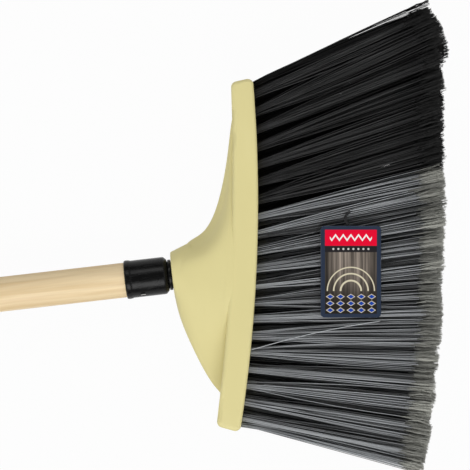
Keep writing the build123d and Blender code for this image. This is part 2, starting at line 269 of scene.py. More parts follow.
class BroomBristleSettings(PropertyGroup):
    pitch: metres("Tuft pitch", "From tuft to tuft along a row", 0.0116)
    drift: metres("Tuft drift", "How far the tufts at the middle sit below their even places", 0.003)
    row_pitch: metres("Row pitch", "From row to row", 0.0085)
    black_from: metres("Black from", "Where the black tufts begin, from the head's middle", 0.030)
    reach: metres("Bristle length", "Free length of a bristle at the head's middle", 0.1296)
    growth: metres("Growth", "Longer at the top end than at the middle by this", 0.004)
    swell: metres("Swell", "Longer at both ends than at the middle by this", 0.0034)
    flick: metres("Flick", "Longer at the very top and shorter at the very bottom by this", 0.0038)
    corner: metres("Corner", "Length trimmed off the bristles at the top corner", 0.0108)
    crest: metres("Crest", "Length added to the bristles just below the top corner", 0.0032)
    tail: metres("Tail", "Length added to the bristles at the bottom corner", 0.0026)
    fan_top: rotation("Fan at the top", "Lean of the last tuft at the top end", radians(27.8))
    fan_bottom: rotation("Fan at the bottom", "Lean of the last tuft at the bottom end", radians(-11.5))
    fan_bow: rotation("Fan bow", "Extra lean at the middle of the fan", radians(3.6))
    splay_top: metres("Splay at the top", "Outward step of the last tufts at the top end", 0.0008)
    splay_bottom: metres("Splay at the bottom", "Outward step of the last tufts at the bottom end", -0.0015)
    count: whole("Bristles per tuft", "Bristles in each tuft", 56, min=8, max=200)
    root_radius: metres("Root radius", "Tuft radius at the face", 0.00255)
    tip_spread: metres("Tip spread", "Tuft half width at the tips, along the head", 0.0084)
    tip_lift: metres("Tip lift", "Tuft half width at the tips, across the head", 0.0042)
    radius: metres("Bristle radius", "Radius of one bristle", 0.0003)
    split_length: metres("Split length", "Length of the split ends", 0.0155)
    hairs: whole("Split hairs", "Hairs that each bristle splits into", 5, min=1, max=6)
    grey: swatch("Grey bristle", "Shafts of the grey bristles", (0.44, 0.458, 0.474))
    grey_split: swatch("Grey split ends", "Split ends of the grey bristles", (0.38, 0.382, 0.345))
    black: swatch("Black bristle", "Shafts of the black bristles", (0.027, 0.027, 0.0275))
    black_split: swatch("Black split ends", "Split ends of the black bristles", (0.0105, 0.0105, 0.0103))
    seed: whole("Seed", "Draw of the bristles' small differences", 11)


class BroomHandleSettings(PropertyGroup):
    pine_early: swatch("Pale wood", "Early wood of the pine", (0.86, 0.69, 0.43))
    pine_late: swatch("Dark wood", "Late wood of the pine", (0.67, 0.47, 0.235))
    black: swatch("Black plastic", "Ferrule and hang cap", (0.004, 0.004, 0.0041))
    steel: swatch("Nail steel", "Nails and anchors", (0.56, 0.55, 0.53))
    lip_length: metres("Lip length", "Bead at the ferrule's open end", 0.0036)
    lip_height: metres("Lip height", "Rise of the bead over the sleeve", 0.0005)
    sleeve_length: metres("Sleeve length", "Ferrule's sleeve over the stick", 0.0296)
    shoulder: metres("Shoulder", "Cone at the sleeve's front", 0.0022)
    pitch: metres("Thread pitch", "Travel of the thread in one turn", 0.0045)
    thread_depth: metres("Thread depth", "Height of the thread over the plug", 0.0013)
    crest_radius: metres("Crest radius", "Radius over the thread", 0.0106)
    cap_length: metres("Cap length", "Hang cap's cup", 0.031)
    cap_floor: metres("Cap floor", "Wall at the cup's end", 0.0022)
    loop_arm: metres("Loop arm", "Strap of the loop, seen from its flat side", 0.0025)
    loop_tip: metres("Loop tip", "Strap at the loop's round end", 0.0032)
    loop_width: metres("Loop width", "Strap of the loop, across its flat side", 0.007)
    loop_corner: metres("Loop corner", "Round where the arms meet the cup", 0.005)


class BroomTagSettings(PropertyGroup):
    border: swatch("Border", "Border of the card", (0.022, 0.033, 0.06))
    band: swatch("Band", "Band along the card's top", (0.77, 0.001, 0.03))
    field: swatch("Field", "Ground of the card's lower part", (0.125, 0.105, 0.088))
    motif: swatch("Motif", "Pale lines on the card", (0.72, 0.66, 0.48))
    lozenge: swatch("Lozenge", "Blue lozenges on the card", (0.01, 0.055, 0.36))
    string: swatch("String", "Twisted string", (0.009, 0.009, 0.01))
    string_diameter: metres("String diameter", "Over both strands", 0.0022)
    lay: metres("String lay", "Length of one twist of the strands", 0.0052)


def math_node(operation, swapped=False):
    """Method that adds a Math node, with its two values swapped for a reflected operator."""

    def method(self, other=0.0):
        first, second = (other, self) if swapped else (self, other)
        return self.paint.math(operation, first, second)

    return method


class Value:
    """A socket of a finish's nodes. Arithmetic on it adds Math nodes."""

    def __init__(self, paint, socket):
        self.paint = paint
        self.socket = socket

    __add__ = __radd__ = math_node("ADD")
    __sub__ = math_node("SUBTRACT")
    __rsub__ = math_node("SUBTRACT", swapped=True)
    __mul__ = __rmul__ = math_node("MULTIPLY")
    __truediv__ = math_node("DIVIDE")
    __rtruediv__ = math_node("DIVIDE", swapped=True)
    __pow__ = math_node("POWER")
    __abs__ = math_node("ABSOLUTE")
    fract = math_node("FRACT")
    most = math_node("MAXIMUM")

    def wave(self):
        """Triangle wave: 1 at whole numbers and 0 halfway between them."""
        return abs(self.fract() - 0.5) * 2.0

    def rise(self, low, high):
        """Smooth step from 0 at low to 1 at high."""
        sockets = {"Value": self, "From Min": low, "From Max": high}
        return self.paint.node("ShaderNodeMapRange", {"interpolation_type": "SMOOTHSTEP"}, sockets)

    def between(self, low, high, soft):
        """1 from low to high and 0 outside, with soft edges."""
        return self.rise(low - soft, low + soft) * (1.0 - self.rise(high - soft, high + soft))


class Paint:
    """Nodes of a material or a sky, added one call at a time."""

    def __init__(self, owner):
        self.owner = owner
        owner.use_nodes = True
        self.tree = owner.node_tree
        self.tree.nodes.clear()

    def node(self, kind, settings, sockets, output=0):
        """Adds a node: its settings first, then values or links for its sockets; gives one output, if any."""
        made = self.tree.nodes.new(kind)
        for key, setting in settings.items():
            setattr(made, key, setting)
        for key, entry in sockets.items():
            if isinstance(entry, Value):
                self.tree.links.new(entry.socket, made.inputs[key])
            elif made.inputs[key].type == "RGBA":
                made.inputs[key].default_value = (*tuple(entry)[:3], 1)
            else:
                made.inputs[key].default_value = entry
        return Value(self, made.outputs[output]) if made.outputs else None

    def math(self, operation, first, second=0.0):
        return self.node("ShaderNodeMath", {"operation": operation}, {0: first, 1: second})

    def mix(self, share, first, second):
        """Colour that goes from first to second with the share."""
        return self.node("ShaderNodeMix", {"data_type": "RGBA"}, {0: share, 6: first, 7: second}, 2)

    def tint(self, colour, gain):
        """Colour times a value."""
        return self.node("ShaderNodeVectorMath", {"operation": "SCALE"}, {0: colour, "Scale": gain})

    def place(self):
        return self.node("ShaderNodeTexCoord", {}, {}, "Object")

    def stretch(self, place, scale):
        return self.node("ShaderNodeVectorMath", {"operation": "MULTIPLY"}, {0: place, 1: scale})

    def split(self, place):
        """The x, y and z of a place as three values."""
        made = self.node("ShaderNodeSeparateXYZ", {}, {0: place})
        return [Value(self, socket) for socket in made.socket.node.outputs]

    def noise(self, place, scale, detail=2.0, rough=0.5):
        """Noise at one scale, or at a scale for each of x, y and z."""
        if isinstance(scale, tuple):
            place, scale = self.stretch(place, scale), 1.0
        sockets = {"Vector": place, "Scale": scale, "Detail": detail, "Roughness": rough}
        return self.node("ShaderNodeTexNoise", {}, sockets, "Fac")

    def carried(self, name):
        """A number that each point of the mesh carries."""
        return self.node("ShaderNodeAttribute", {"attribute_name": name}, {}, "Fac")

    def finish(self, colour, rough, relief=None, depth=0.0, strength=1.0, shine=0.5, metal=0.0):
        """Principled surface, with a bump of that depth where relief is given."""
        sockets = {"Base Color": colour, "Roughness": rough, "Specular IOR Level": shine, "Metallic": metal}
        if relief is not None:
            bump = {"Height": relief, "Distance": depth, "Strength": strength}
            sockets["Normal"] = self.node("ShaderNodeBump", {}, bump)
        shader = self.node("ShaderNodeBsdfPrincipled", {}, sockets)
        self.node("ShaderNodeOutputMaterial", {}, {"Surface": shader})
        return self.owner


def add_object(name, data, place=(0, 0, 0), turn=(0, 0, 0)):
    """Object with its mesh, lamp or camera, in the scene."""
    added = bpy.data.objects.new(name, data)
    added.location = place
    added.rotation_euler = turn
    bpy.context.scene.collection.objects.link(added)
    return added


def add_piece(name, points, faces, material, smooth=True):
    """Mesh object at the origin from point rows and a list of face index arrays."""
    mesh = bpy.data.meshes.new(name)
    mesh.from_pydata(points.tolist(), [], [face for rows in faces for face in rows.tolist()])
    mesh.polygons.foreach_set("use_smooth", np.full(len(mesh.polygons), smooth))
    mesh.materials.append(material)
    mesh.update()
    return add_object(name, mesh)


def carry(piece, name, values):
    """Gives each point of a piece a number that its finish reads."""
    held = piece.data.attributes.new(name, "FLOAT", "POINT")
    held.data.foreach_set("value", values.astype(np.float32))


def add_map(piece, name, places):
    """UV map whose corners take their place from the point they are on."""
    layer = piece.data.uv_layers.new(name=name)
    corners = np.zeros(len(piece.data.loops), np.int32)
    piece.data.loops.foreach_get("vertex_index", corners)
    layer.data.foreach_set("uv", places[corners].astype(np.float32).ravel())


def unit(vectors):
    """Each vector divided by its length."""
    return vectors / np.linalg.norm(vectors, axis=-1, keepdims=True)


def rise(value, low, high):
    """Smooth step from 0 at low to 1 at high, on an array."""
    share = np.clip((value - low) / (high - low), 0, 1)
    return share * share * (3 - 2 * share)


def line_at(line, share):
    """Start of a straight line plus its gain times the share."""
    start, gain = line
    return start + gain * share


def grid_quads(rings, sides, closed=False):
    """Quads between neighbouring rings of points; closed also joins the last ring to the first."""
    ring, side = np.meshgrid(np.arange(rings if closed else rings - 1), np.arange(sides), indexing="ij")
    near, far, after = ring * sides, (ring + 1) % rings * sides, (side + 1) % sides
    return np.stack([near + side, far + side, far + after, near + after], -1).reshape(-1, 4)


def strand_faces(strands, rings, sides):
    """Side quads and end caps of many closed tubes whose points lie strand by strand, ring by ring."""
    first = np.arange(strands)[:, None] * rings * sides
    quads = (first[:, :, None] + grid_quads(rings, sides)).reshape(-1, 4)
    starts = first + np.arange(sides)
    ends = first + (rings - 1) * sides + np.arange(sides)[::-1]
    return [quads, starts, ends]


def strand_points(centres, radii, sides, up=(0.0, 0.0, 1.0)):
    """Points of thin tubes: round each centre lies a regular polygon, square to the strand's run.

    centres is (strand, ring, 3) and radii is (strand, ring).
    """
    run = unit(np.gradient(centres, axis=1))
    across = unit(np.cross(run, up))
    over = np.cross(across, run)
    turn = 2 * pi * np.arange(sides) / sides
    spoke = np.cos(turn)[:, None] * across[:, :, None] + np.sin(turn)[:, None] * over[:, :, None]
    return (centres[:, :, None] + radii[:, :, None, None] * spoke).reshape(-1, 3)


def squared_oval(points, power):
    """Points round a circle whose cosine and sine are raised to a power below 1, which squares it."""
    turn = 2 * pi * np.arange(points) / points
    circle = np.stack([np.cos(turn), np.sin(turn)], -1)
    return np.sign(circle) * np.abs(circle) ** power


def head_place(head, along, across, height):
    """Point of the head's own plane, along towards the bristles and across up the head, in the frame."""
    c, s = cos(head.angle), sin(head.angle)
    return np.stack([c * along + s * across, c * across - s * along, height + 0 * along], -1)


def arc_drop(head, distance):
    """Fall of the bowed face: radius minus the root of radius squared less distance squared."""
    half = head.length / 2
    radius = (half**2 + head.face_bow**2) / (2 * head.face_bow)
    return radius - np.sqrt(radius**2 - distance**2)


def fan_angle(head, bristle, distance):
    """Lean of a tuft: an even fan over the head plus a bow that is greatest at its middle."""
    share = distance / (head.length / 2)
    middle = (bristle.fan_top + bristle.fan_bottom) / 2
    half = (bristle.fan_top - bristle.fan_bottom) / 2
    return middle + share * half + bristle.fan_bow * (1 - share**2)


def row_tufts(head, bristle, row):
    """Places of a row's tufts along the head: even steps that drift down it, most at the middle."""
    count = FULL_ROW - (row + 1) % 2
    even = (np.arange(count) - (count - 1) / 2) * bristle.pitch
    return even - bristle.drift * (1 - (even / (head.length / 2)) ** 2)


def free_length(head, bristle, distances):
    """Length of the bristles: a cubic over the head, with a trim at the top and more at the bottom."""
    share = distances / (head.length / 2)
    grown = bristle.growth * share + bristle.swell * share**2 + bristle.flick * share**3
    top = bristle.crest * rise(share, *CREST_SPAN) - bristle.corner * rise(share, *CORNER_SPAN)
    return bristle.reach + grown + top + bristle.tail * rise(-share, *TAIL_SPAN)


def bristle_shafts(head, bristle, distances, height, wide, draw):
    """Run, place in the tuft, bow and length of all the bristles of a row.

    A bristle starts at a sunflower place (a, b) of its tuft's round root. At the share t of its length
    it has moved t times its length along the tuft's lean, a times a half width along the head and b
    times a smaller one across it, both growing with t (2 - t), and a random bow that grows with t
    squared. Wide tufts fill their width evenly. At the ends of the head the bristles spread less to the
    outside, and a few at the top stand off.
    """
    tufts, count = len(distances), round(bristle.count * wide)
    each_tuft, each = (tufts, 1), (tufts, count)
    turn = fan_angle(head, bristle, distances) + draw.normal(0, TUFT_LEAN, tufts) - head.angle
    seat = head_place(head, head.rim_depth / 2 - arc_drop(head, distances), head.offset + distances, height)
    run = np.stack([np.cos(turn), np.sin(turn), 0 * turn], -1)
    side = np.stack([-np.sin(turn), np.cos(turn), 0 * turn], -1)
    order = np.arange(count) + 0.5
    spoke = order * GOLDEN_TURN + draw.uniform(0, 2 * pi, each_tuft)
    out = np.sqrt(order / count)
    root_a = out * np.cos(spoke)
    a = ROOT_SHOWS * root_a + draw.normal(0, SIDE_PLACE, each)
    a *= draw.uniform(*TUFT_WIDTHS, each_tuft)
    if wide > 1:
        a = draw.uniform(-wide, wide, each)
    b = np.clip(out * np.sin(spoke) + draw.normal(0, LIFT_PLACE, each), -1, 1)

    share = distances / (head.length / 2)
    end = (np.sign(distances) * (np.abs(share) > END_FROM))[:, None]
    last = (np.sign(distances) * (np.abs(share) > LAST_FROM))[:, None]
    held = np.clip(a, -1, 1) * np.where(end > 0, *END_WIDTHS)
    a = np.where(end * a > 0, held, np.clip(a, -SIDE_LIMIT * wide, SIDE_LIMIT * wide))
    splay = bristle.splay_top * (last > 0) - bristle.splay_bottom * (last < 0)
    bow = draw.normal(0, TUFT_BOW, each_tuft) * (end == 0) + draw.normal(0, BRISTLE_BOW, each)
    loose = (last > 0) & (draw.uniform(0, 1, each) < LOOSE_SHARE)
    bow = bow - (TOP_BOW * (last > 0) + BOTTOM_BOW * (last < 0))
    bow = np.where(loose, draw.uniform(*LOOSE_BOWS, each), bow)
    a = np.where(loose, LOOSE_PLACE, a)
    reach = free_length(head, bristle, distances)[:, None] + draw.normal(0, TUFT_REACH, each_tuft)
    reach = reach + draw.normal(0, BRISTLE_REACH, each) - TUFT_ROUND * a**2 * (end == 0) + LOOSE_REACH * loose
    cut = reach - bristle.split_length + draw.normal(0, TUFT_CUT, each_tuft)
    cut = cut + draw.normal(0, BRISTLE_CUT, each)
    lines = {"seat": seat, "run": run, "side": side, "splay": splay, "last": last != 0}
    return SimpleNamespace(**lines, root_a=root_a, a=a, b=b, bow=bow, reach=reach, cut=cut)


def along_bristle(bristle, shafts, distance):
    """Points at these distances along every bristle; distance is (tuft, bristle, ring)."""
    grown = np.maximum(distance / bristle.reach, 0)
    fanned = np.minimum(grown, 1) * (2 - np.minimum(grown, 1))
    spread = (shafts.a[..., None] * bristle.tip_spread) * fanned
    start = shafts.root_a[..., None] * bristle.root_radius * (1 - fanned)
    splay = shafts.splay[..., None] * rise(grown, *SPLAY_SPAN)
    sideways = start + spread + splay + shafts.bow[..., None] * grown**2
    lift = bristle.root_radius + (bristle.tip_lift - bristle.root_radius) * fanned
    place = shafts.seat[:, None, None] + distance[..., None] * shafts.run[:, None, None]
    place = place + sideways[..., None] * shafts.side[:, None, None]
    place[..., 2] += shafts.b[..., None] * lift
    return place


def strip_levels(a, strips, draw):
    """One random level for each strip along a tuft, given to the bristles that lie in it."""
    strip = np.clip((a + STRIP_REACH) / (2 * STRIP_REACH) * strips, 0, strips - 1).astype(int)
    return np.take_along_axis(draw.uniform(0, 1, (len(a), strips)), strip, 1)


def even_steps(shade):
    """Each shade rounded to one of the even steps."""
    return np.round(shade * (SHADES - 1)) / (SHADES - 1)


def bristle_shade(row, last, a, b, draw):
    """Painted light on each bristle: full on the outer side of the outer rows and end tufts, little inside,
    which paints shade there.

    Most bristles share the level of the lock they lie in, and about a quarter of the levels are dark, partly
    painted shade in the gaps between locks and partly a darker tone.
    """
    facing = np.sign(row - ROWS // 2)
    outside = last | (row in (0, ROWS - 1))
    deep = DEEP_LIGHT if facing == 0 else NEXT_ROW_LIGHT
    light = np.where(outside, DEEP_LIGHT + (1 - DEEP_LIGHT) * rise(facing * b, *FACING_SPAN), deep)
    locked = draw.uniform(0, 1, b.shape) < LOCKED_SHARE
    level = np.where(locked, strip_levels(a, LOCKS, draw), draw.uniform(0, 1, b.shape))
    dark, pale = line_at(DARK_LEVEL, level), line_at(PALE_LEVEL, level)
    return even_steps(light * np.where(level < DARK_BELOW, dark, pale))


def bristle_row(head, bristle, name, row, distances, height, material, draw):
    """All bristles of one row and colour as one piece: three-sided shafts that end in finer split hairs."""
    wide = MIDDLE_WIDTH if row == ROWS // 2 else 1.0
    shafts = bristle_shafts(head, bristle, distances, height, wide, draw)
    total = shafts.a.size
    # Each bristle's shade is painted light and shade by depth, times a level of tone
    shade = bristle_shade(row, shafts.last, shafts.a / wide, shafts.b, draw).ravel()

    rings = len(SHAFT_SHARES)
    distance = shafts.cut[..., None] * SHAFT_SHARES
    distance[..., 0] = -ROOT_DEPTH
    centres = along_bristle(bristle, shafts, distance).reshape(total, rings, 3)
    radii = bristle.radius * draw.uniform(*BRISTLE_WIDTHS, (total, 1))
    shaft_points = strand_points(centres, radii + np.zeros(rings), SIDES)

    hairs, steps = total * bristle.hairs, len(HAIR_SHARES)
    start = shafts.cut[..., None] - 2 * bristle.radius
    distance = start + (shafts.reach[..., None] - start) * HAIR_SHARES
    stems = along_bristle(bristle, shafts, distance).reshape(total, 1, steps, 3)
    wander = draw.normal(0, STEM_WANDER, (total, 1, steps, 3))
    wander = wander + draw.normal(0, HAIR_STRAY, (total, bristle.hairs, steps, 3))
    wander[..., 0] *= WANDER_ALONG
    lines = (stems + wander * HAIR_WANDER[:, None]).reshape(hairs, steps, 3)
    hair_points = strand_points(lines, np.tile(HAIR_RADII * bristle.radius, (hairs, 1)), SIDES)

    points = np.concatenate([shaft_points, hair_points])
    points[:, 2] = np.maximum(points[:, 2], FLOOR_GAP)
    hair_faces = [rows + len(shaft_points) for rows in strand_faces(hairs, steps, SIDES)]
    piece = add_piece(name, points, strand_faces(total, rings, SIDES) + hair_faces, material)

    shaft_along = np.tile(np.repeat(SHAFT_SHARES, SIDES), total)
    hair_along = np.tile(np.repeat(HAIR_SHARES, SIDES), hairs)
    clumped = strip_levels(shafts.a / wide, CLUMPS, draw).ravel()
    # Each hair's level mixes its clump, its bristle's painted light and shade, and chance
    mixed = np.repeat(CLUMP_WEIGHT * clumped + SHADE_WEIGHT * shade, bristle.hairs)
    mixed = even_steps(mixed + CHANCE_WEIGHT * draw.uniform(0, 1, hairs))
    shades = np.concatenate([np.repeat(shade, rings * SIDES), np.repeat(mixed, steps * SIDES)])
    carry(piece, "shade", shades)
    carry(piece, "along", np.concatenate([shaft_along, hair_along]))
    carry(piece, "split", np.concatenate([0 * shaft_along, 0 * hair_along + 1]))
    u = (shades * (SHADES - 1) + np.tile(BAKE_CORNERS, len(points) // SIDES)) / SHADES
    v = np.concatenate([line_at(BAKE_SHAFT, shaft_along), line_at(BAKE_HAIR, hair_along)])
    add_map(piece, "OFBake", np.stack([u, v], -1))
    return piece


def bend(piece):
    """Bakes the piece's place into its mesh."""
    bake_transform(piece)


def new_paint(name):
    """Paint of a new material."""
    return Paint(bpy.data.materials.new(name))


def plane_length(across, up):
    """Root of the sum of two squares, as nodes."""
    return (across * across + up * up) ** 0.5


def bristle_paint(name, shaft, ends, shine, lift):
    """Plastic bristle that carries its own painted light and shade, which fades by the lift along it, a
    painted light, with dull split ends.
    """
    paint = new_paint(name)
    shade, split, along = (paint.carried(key) for key in ("shade", "split", "along"))
    # bright is painted light that lifts the darker bristles along their length and more near the tips; the
    # body is also painted lighter towards the tips
    bright = lift * along.rise(0.2, 0.9) + 0.06 * along.rise(0.75, 1.05)
    body = paint.tint(shaft, shade * (0.94 + 0.06 * along) + bright * (1.0 - shade))
    tips = paint.tint(ends, 0.06 + 1.45 * shade + 0.16 * along)
    colour = paint.mix(split * along.rise(-0.35, 0.3), body, tips)
    rough = 0.36 + 0.16 * (1.0 - shade) + 0.38 * split
    return paint.finish(colour, rough, shine=shine)


def plastic_paint(name, colour):
    """Moulded pale plastic: a fine spark grain, faint flow marks and slightly uneven shine."""
    paint = new_paint(name)
    place = paint.place()
    cloud = paint.noise(place, 18.0, 3.0)
    flow = paint.noise(place, (60.0, 14.0, 30.0), 3.0)
    grain = paint.noise(place, 2600.0)
    speck = paint.node("ShaderNodeTexVoronoi", {}, {"Vector": place, "Scale": 900.0}, "Distance")
    shown = paint.tint(colour, 0.955 + 0.05 * cloud + 0.04 * flow + 0.012 * grain)
    worn = paint.mix(0.1 * flow.rise(0.55, 0.8), shown, WORN_PLASTIC)
    rough = 0.46 + 0.12 * cloud + 0.05 * grain
    return paint.finish(worn, rough, 0.7 * grain + 0.3 * speck, 0.06 * MM, 0.35)


def black_paint(name, colour):
    """Satin black plastic with fine moulding grain and faint scuffs along the handle."""
    paint = new_paint(name)
    place = paint.place()
    grain = paint.noise(place, 2400.0)
    scuff = paint.noise(place, (130.0, 1300.0, 1300.0), 4.0).rise(0.52, 0.72)
    cloud = paint.noise(place, 120.0)
    shown = paint.tint(colour, 0.7 + 0.4 * cloud + 1.2 * scuff)
    rough = 0.24 + 0.06 * cloud + 0.14 * scuff
    return paint.finish(shown, rough, 0.5 * grain + scuff, 0.05 * MM, 0.3, BLACK_SHINE)


def steel_paint(name, colour):
    """Dull drawn steel with a little tarnish."""
    paint = new_paint(name)
    place = paint.place()
    tarnish = paint.noise(place, 700.0, 3.0)
    lines = paint.noise(place, (4000.0, 900.0, 900.0))
    shown = paint.mix(tarnish.rise(0.5, 0.75), colour, TARNISH)
    rough = 0.26 + 0.2 * tarnish + 0.12 * lines
    return paint.finish(shown, rough, lines, 0.03 * MM, 0.3, metal=1.0)


def nail_paint(name, steel, black, centre, bare_length):
    """Nail head under black paint that is rubbed bright in a short line along the handle."""
    paint = new_paint(name)
    place = paint.place()
    x, y, z = paint.split(place)
    across = cos(NAIL_ANGLE) * y + sin(NAIL_ANGLE) * (z - AXIS_Z)
    grain = paint.noise(place, 3000.0)
    line = 1.0 - abs(across).rise(*NAIL_EDGE)
    bare = line * (1.0 - abs(x - centre).rise(0.6 * bare_length, bare_length))
    shown = paint.mix(bare, black, paint.tint(steel, 0.8 + 0.4 * grain))
    rough = 0.3 + 0.12 * grain
    return paint.finish(shown, rough, grain, 0.03 * MM, 0.3, BLACK_SHINE, bare)


def pine_paint(name, early, late):
    """Turned pine: growth rings about a pith beside the stick, cut lengthwise, with fibres and knots."""
    paint = new_paint(name)
    place = paint.place()
    x, y, z = paint.split(place)
    wander = paint.noise(place, (4.5, 60.0, 60.0), 3.0, 0.55)
    drift = paint.noise(place, (3.2, 0.0, 0.0), 1.0)
    radius = plane_length(y - (PITH[0] + 0.05 * (drift - 0.5)), z - (AXIS_Z + PITH[1]))
    phase = radius / RING_STEP + 2.4 * wander
    above = (z - AXIS_Z).rise(0.0, KNOT_DEPTH)
    mask = 0.0
    for knot_x, knot_y, long, wide in KNOTS:
        off = ((x - knot_x) / long) ** 2.0 + ((y - knot_y) / wide) ** 2.0
        phase = phase + 0.9 * above / (1.0 + 0.4 * off)
        mask = (above * (1.0 - off.rise(0.2, 1.0))).most(mask)
    ring = phase.fract()
    band = ring.rise(0.1, 0.8) * (1.0 - ring.rise(0.82, 1.0))
    streak = paint.noise(place, (11.0, 190.0, 190.0), 3.0, 0.6).rise(0.36, 0.68)
    fibre = paint.noise(place, (14.0, 900.0, 900.0), 4.0, 0.62)
    pore = paint.noise(place, (90.0, 4200.0, 4200.0)).rise(0.6, 0.74)
    blush = paint.noise(place, (6.0, 80.0, 80.0)).rise(0.52, 0.78)
    wood = paint.mix(0.3 * band + 0.34 * streak, early, late)
    wood = paint.mix(0.22 * blush, wood, BLUSH)
    wood = paint.tint(wood, 0.9 + 0.22 * fibre - 0.05 * pore)
    wood = paint.mix(0.5 * mask, wood, KNOT_BROWN)
    rough = 0.46 + 0.1 * band + 0.12 * fibre
    relief = fibre - 0.5 * pore + 0.2 * band
    return paint.finish(wood, rough, relief, 0.08 * MM, 0.35)


def string_paint(name, colour):
    """Dark twisted string: slanting fibres along each strand and a dusty bloom."""
    paint = new_paint(name)
    fibre = paint.noise(paint.place(), 5200.0, 3.0)
    ridge = (6.0 * paint.carried("around") + 3.2 * paint.carried("along")).wave()
    shown = paint.tint(colour, 0.6 + 0.9 * fibre + 0.7 * ridge)
    rough = 0.78 + 0.15 * fibre
    return paint.finish(shown, rough, ridge + 0.6 * fibre, 0.12 * MM, 0.6)


def card_paint(name, tag):
    """Printed card: a dark border, a red band with a zigzag, a dotted strip, and arcs over lozenges."""
    paint = new_paint(name)
    turned = {"Location": (TAG_CENTRE[0] * MM, TAG_CENTRE[1] * MM, 0), "Rotation": (0, 0, TAG_TURN)}
    sockets = {"Vector": paint.place(), **turned}
    place = paint.node("ShaderNodeMapping", {"vector_type": "TEXTURE"}, sockets)
    x, y, _ = paint.split(paint.stretch(place, (1 / MM, 1 / MM, 1 / MM)))
    side, height = abs(x), abs(y)

    plank = paint.noise(place, (330.0, 7.0, 0.0), 4.0, 0.65)
    fade = y.rise(*FADE_HEIGHTS) * (1.0 - 0.75 * side.rise(*FADE_SIDES))
    ray = plane_length(x, y - ARC_LEVEL)
    inner, middle, outer = (ray.between(*span, PRINT_SOFT) for span in ARCS)
    form = (x / LOZENGE_WIDTH + 0.5).wave() + ((y - LOZENGE_TOP) / LOZENGE_HEIGHT).wave()
    lower = 1.0 - y.rise(LOZENGE_TOP - PRINT_EDGE, LOZENGE_TOP)
    strip = y.between(*STRIP_SPAN, PRINT_SOFT)
    dot_x = ((x / DOT_STEP).fract() - 0.5) * DOT_STEP
    dot = 1.0 - plane_length(dot_x, y - DOT_LEVEL).rise(*DOT_EDGE)
    band = y.rise(*BAND_EDGE)
    saw = (x / ZIGZAG_STEP).wave() * ZIGZAG_RISE - ZIGZAG_RISE / 2
    zigzag = (1.0 - abs(y - ZIGZAG_LEVEL - saw).rise(*ZIGZAG_EDGE)) * (1.0 - side.rise(*ZIGZAG_SIDES))
    edge = (side - CARD_INSIDE[0]).most(height - CARD_INSIDE[1]).rise(*BORDER_EDGE)
    fibre = paint.noise(place, (1500.0, 90.0, 90.0), 3.0)
    rub = (side - CARD_RUBBED[0]).most(height - CARD_RUBBED[1]).rise(*RUB_EDGE) * fibre.rise(0.45, 0.7)
    layers = (
        (0.9 * (inner + middle + outer) * y.rise(ARC_LEVEL - PRINT_EDGE, ARC_LEVEL), tag.motif),
        (lower * (1.0 - form.rise(*LOZENGE_RIM)), tag.motif),
        (lower * (1.0 - form.rise(*LOZENGE_INSIDE)), tag.lozenge),
        (strip, STRIP_BLACK),
        (0.75 * dot * strip * (1.0 - side.rise(*DOT_SIDES)), DOT_WHITE),
        (band, tag.band),
        (zigzag * band, ZIGZAG_WHITE),
        (edge, tag.border),
        (0.35 * rub, RUBBED_GREY),
    )
    shown = paint.tint(tag.field, 0.14 + 3.2 * plank.rise(0.3, 0.75) * fade)
    for share, colour in layers:
        shown = paint.mix(share, shown, colour)
    rough = 0.42 + 0.16 * fibre + 0.25 * rub
    return paint.finish(shown, rough, fibre, 0.03 * MM, 0.25, CARD_SHINE)


def rounded(corners, radii, steps=5):
    """Profile with each corner cut back by its radius and bridged by a parabola."""
    corners = np.array(corners, float)
    path = [corners[:1]]
    for before, corner, after, radius in zip(corners, corners[1:], corners[2:], radii):
        first = corner + radius * unit(before - corner)
        last = corner + radius * unit(after - corner)
        t = np.linspace(0, 1, steps)[:, None]
        path.append((1 - t) ** 2 * first + 2 * t * (1 - t) * corner + t**2 * last)
    path.append(corners[-1:])
    return np.concatenate(path)


def resampled(profile, step):
    """Profile with extra points, so that no run along it is longer than the step."""
    runs = np.linalg.norm(np.diff(profile, axis=0), axis=1)
    place = np.concatenate([[0], np.cumsum(runs)])
    extra = np.arange(0, place[-1], step)
    places = np.unique(np.concatenate([place, extra]).round(7))
    return np.stack([np.interp(places, place, profile[:, axis]) for axis in range(2)], -1)


def turned_rings(x, radius):
    """Rings of points about the handle's line; radius is (ring, side)."""
    turn = 2 * pi * np.arange(radius.shape[1]) / radius.shape[1]
    return np.stack([x[:, None] + 0 * radius, radius * np.cos(turn), AXIS_Z + radius * np.sin(turn)], -1)


def turned_solid(x, radius):
    """Points and faces of a profile turned about the handle's line, whose two ends are poles.

    The rings come first and the poles last. Quads join the rings, and a fan of triangles goes to each pole.
    """
    rings, sides = radius.shape[0] - 2, radius.shape[1]
    poles = np.array([(x[0], 0, AXIS_Z), (x[-1], 0, AXIS_Z)])
    points = np.concatenate([turned_rings(x, radius)[1:-1].reshape(-1, 3), poles])
    side = np.arange(sides)
    after = (side + 1) % sides
    end = (rings - 1) * sides
    first = np.stack([0 * side + rings * sides, after, side], -1)
    last = np.stack([0 * side + rings * sides + 1, end + side, end + after], -1)
    return points, [grid_quads(rings, sides)[:, [0, 3, 2, 1]], first, last]


def finish_nodes(material, slot, *names):
    """Puts a finish on CAD nodes that stay as they are."""
    for name in names:
        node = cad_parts[name]
        node.data.materials.clear()
        node.data.materials.append(material)


def fit_black(piece, body, node):
    """Black plastic piece that rides a body in place of a CAD node."""
    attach(piece, body)
    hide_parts(node)


